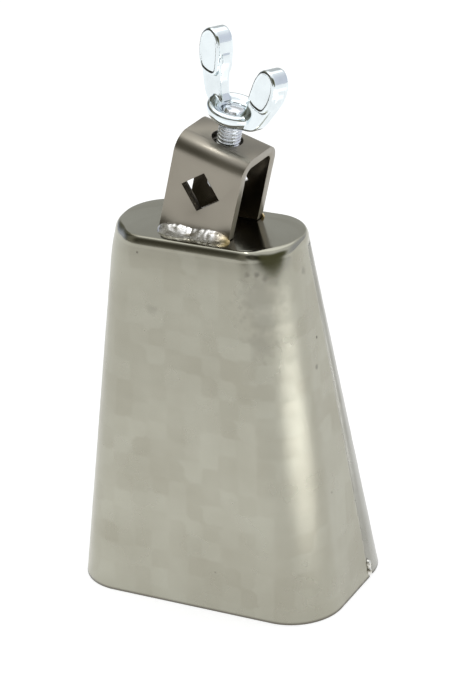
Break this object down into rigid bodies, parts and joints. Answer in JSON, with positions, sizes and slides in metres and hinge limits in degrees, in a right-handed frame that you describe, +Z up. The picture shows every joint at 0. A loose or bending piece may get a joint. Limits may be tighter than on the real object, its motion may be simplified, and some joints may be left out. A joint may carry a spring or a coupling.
{
  "type": "cowbell",
  "caption": "Mountable steel cowbell with a tapered lapped body, a leaning strap bracket with square rod holes and a wing screw that clamps the rod.",
  "frame": {"origin": "centre of the mouth, in the plane that it stands on", "axes": "+Z up from the mouth to the bracket, front panel towards -Y, long side of the mouth along X"},
  "size_m": [0.0962, 0.0598, 0.1937],
  "materials": {
    "nickel_shell": "satin antique nickel plate over hand-hammered steel",
    "nickel_strap": "satin antique nickel plate",
    "plated_weld": "plated weld bead",
    "bare_weld": "bright rough weld bead",
    "zinc_steel": "bright zinc plate",
    "chrome_wing": "polished chrome plate"
  },
  "bodies": {
    "bell": {"front_shell": "nickel_shell", "rear_shell": "nickel_shell", "seam_weld_right": "plated_weld", "seam_weld_left": "plated_weld", "mounting_bracket": "nickel_strap", "bracket_weld_front": "bare_weld", "bracket_weld_rear": "bare_weld", "weld_nut": "zinc_steel", "nut_tack_right": "bare_weld", "nut_tack_left": "bare_weld"},
    "stud": {"threaded_stud": "zinc_steel"},
    "wing": {"wing_head": "chrome_wing"}
  },
  "joints": [
    {"name": "screw_travel", "type": "slide", "parent": "bell", "child": "stud", "axis": [0.2668, -0.0149, 0.9636], "range_m": [-0.0063, 0.0088]},
    {"name": "wing_turn", "type": "hinge", "parent": "stud", "child": "wing", "pos_m": [0.0083, 0.0011, 0.15802], "axis": [0.2668, -0.0149, 0.9636], "range_deg": [-1800, 2520]}
  ],
  "couplings": [
    {"joint": "screw_travel", "follows": "wing_turn", "m_per_rad": 0.00019894}
  ]
}
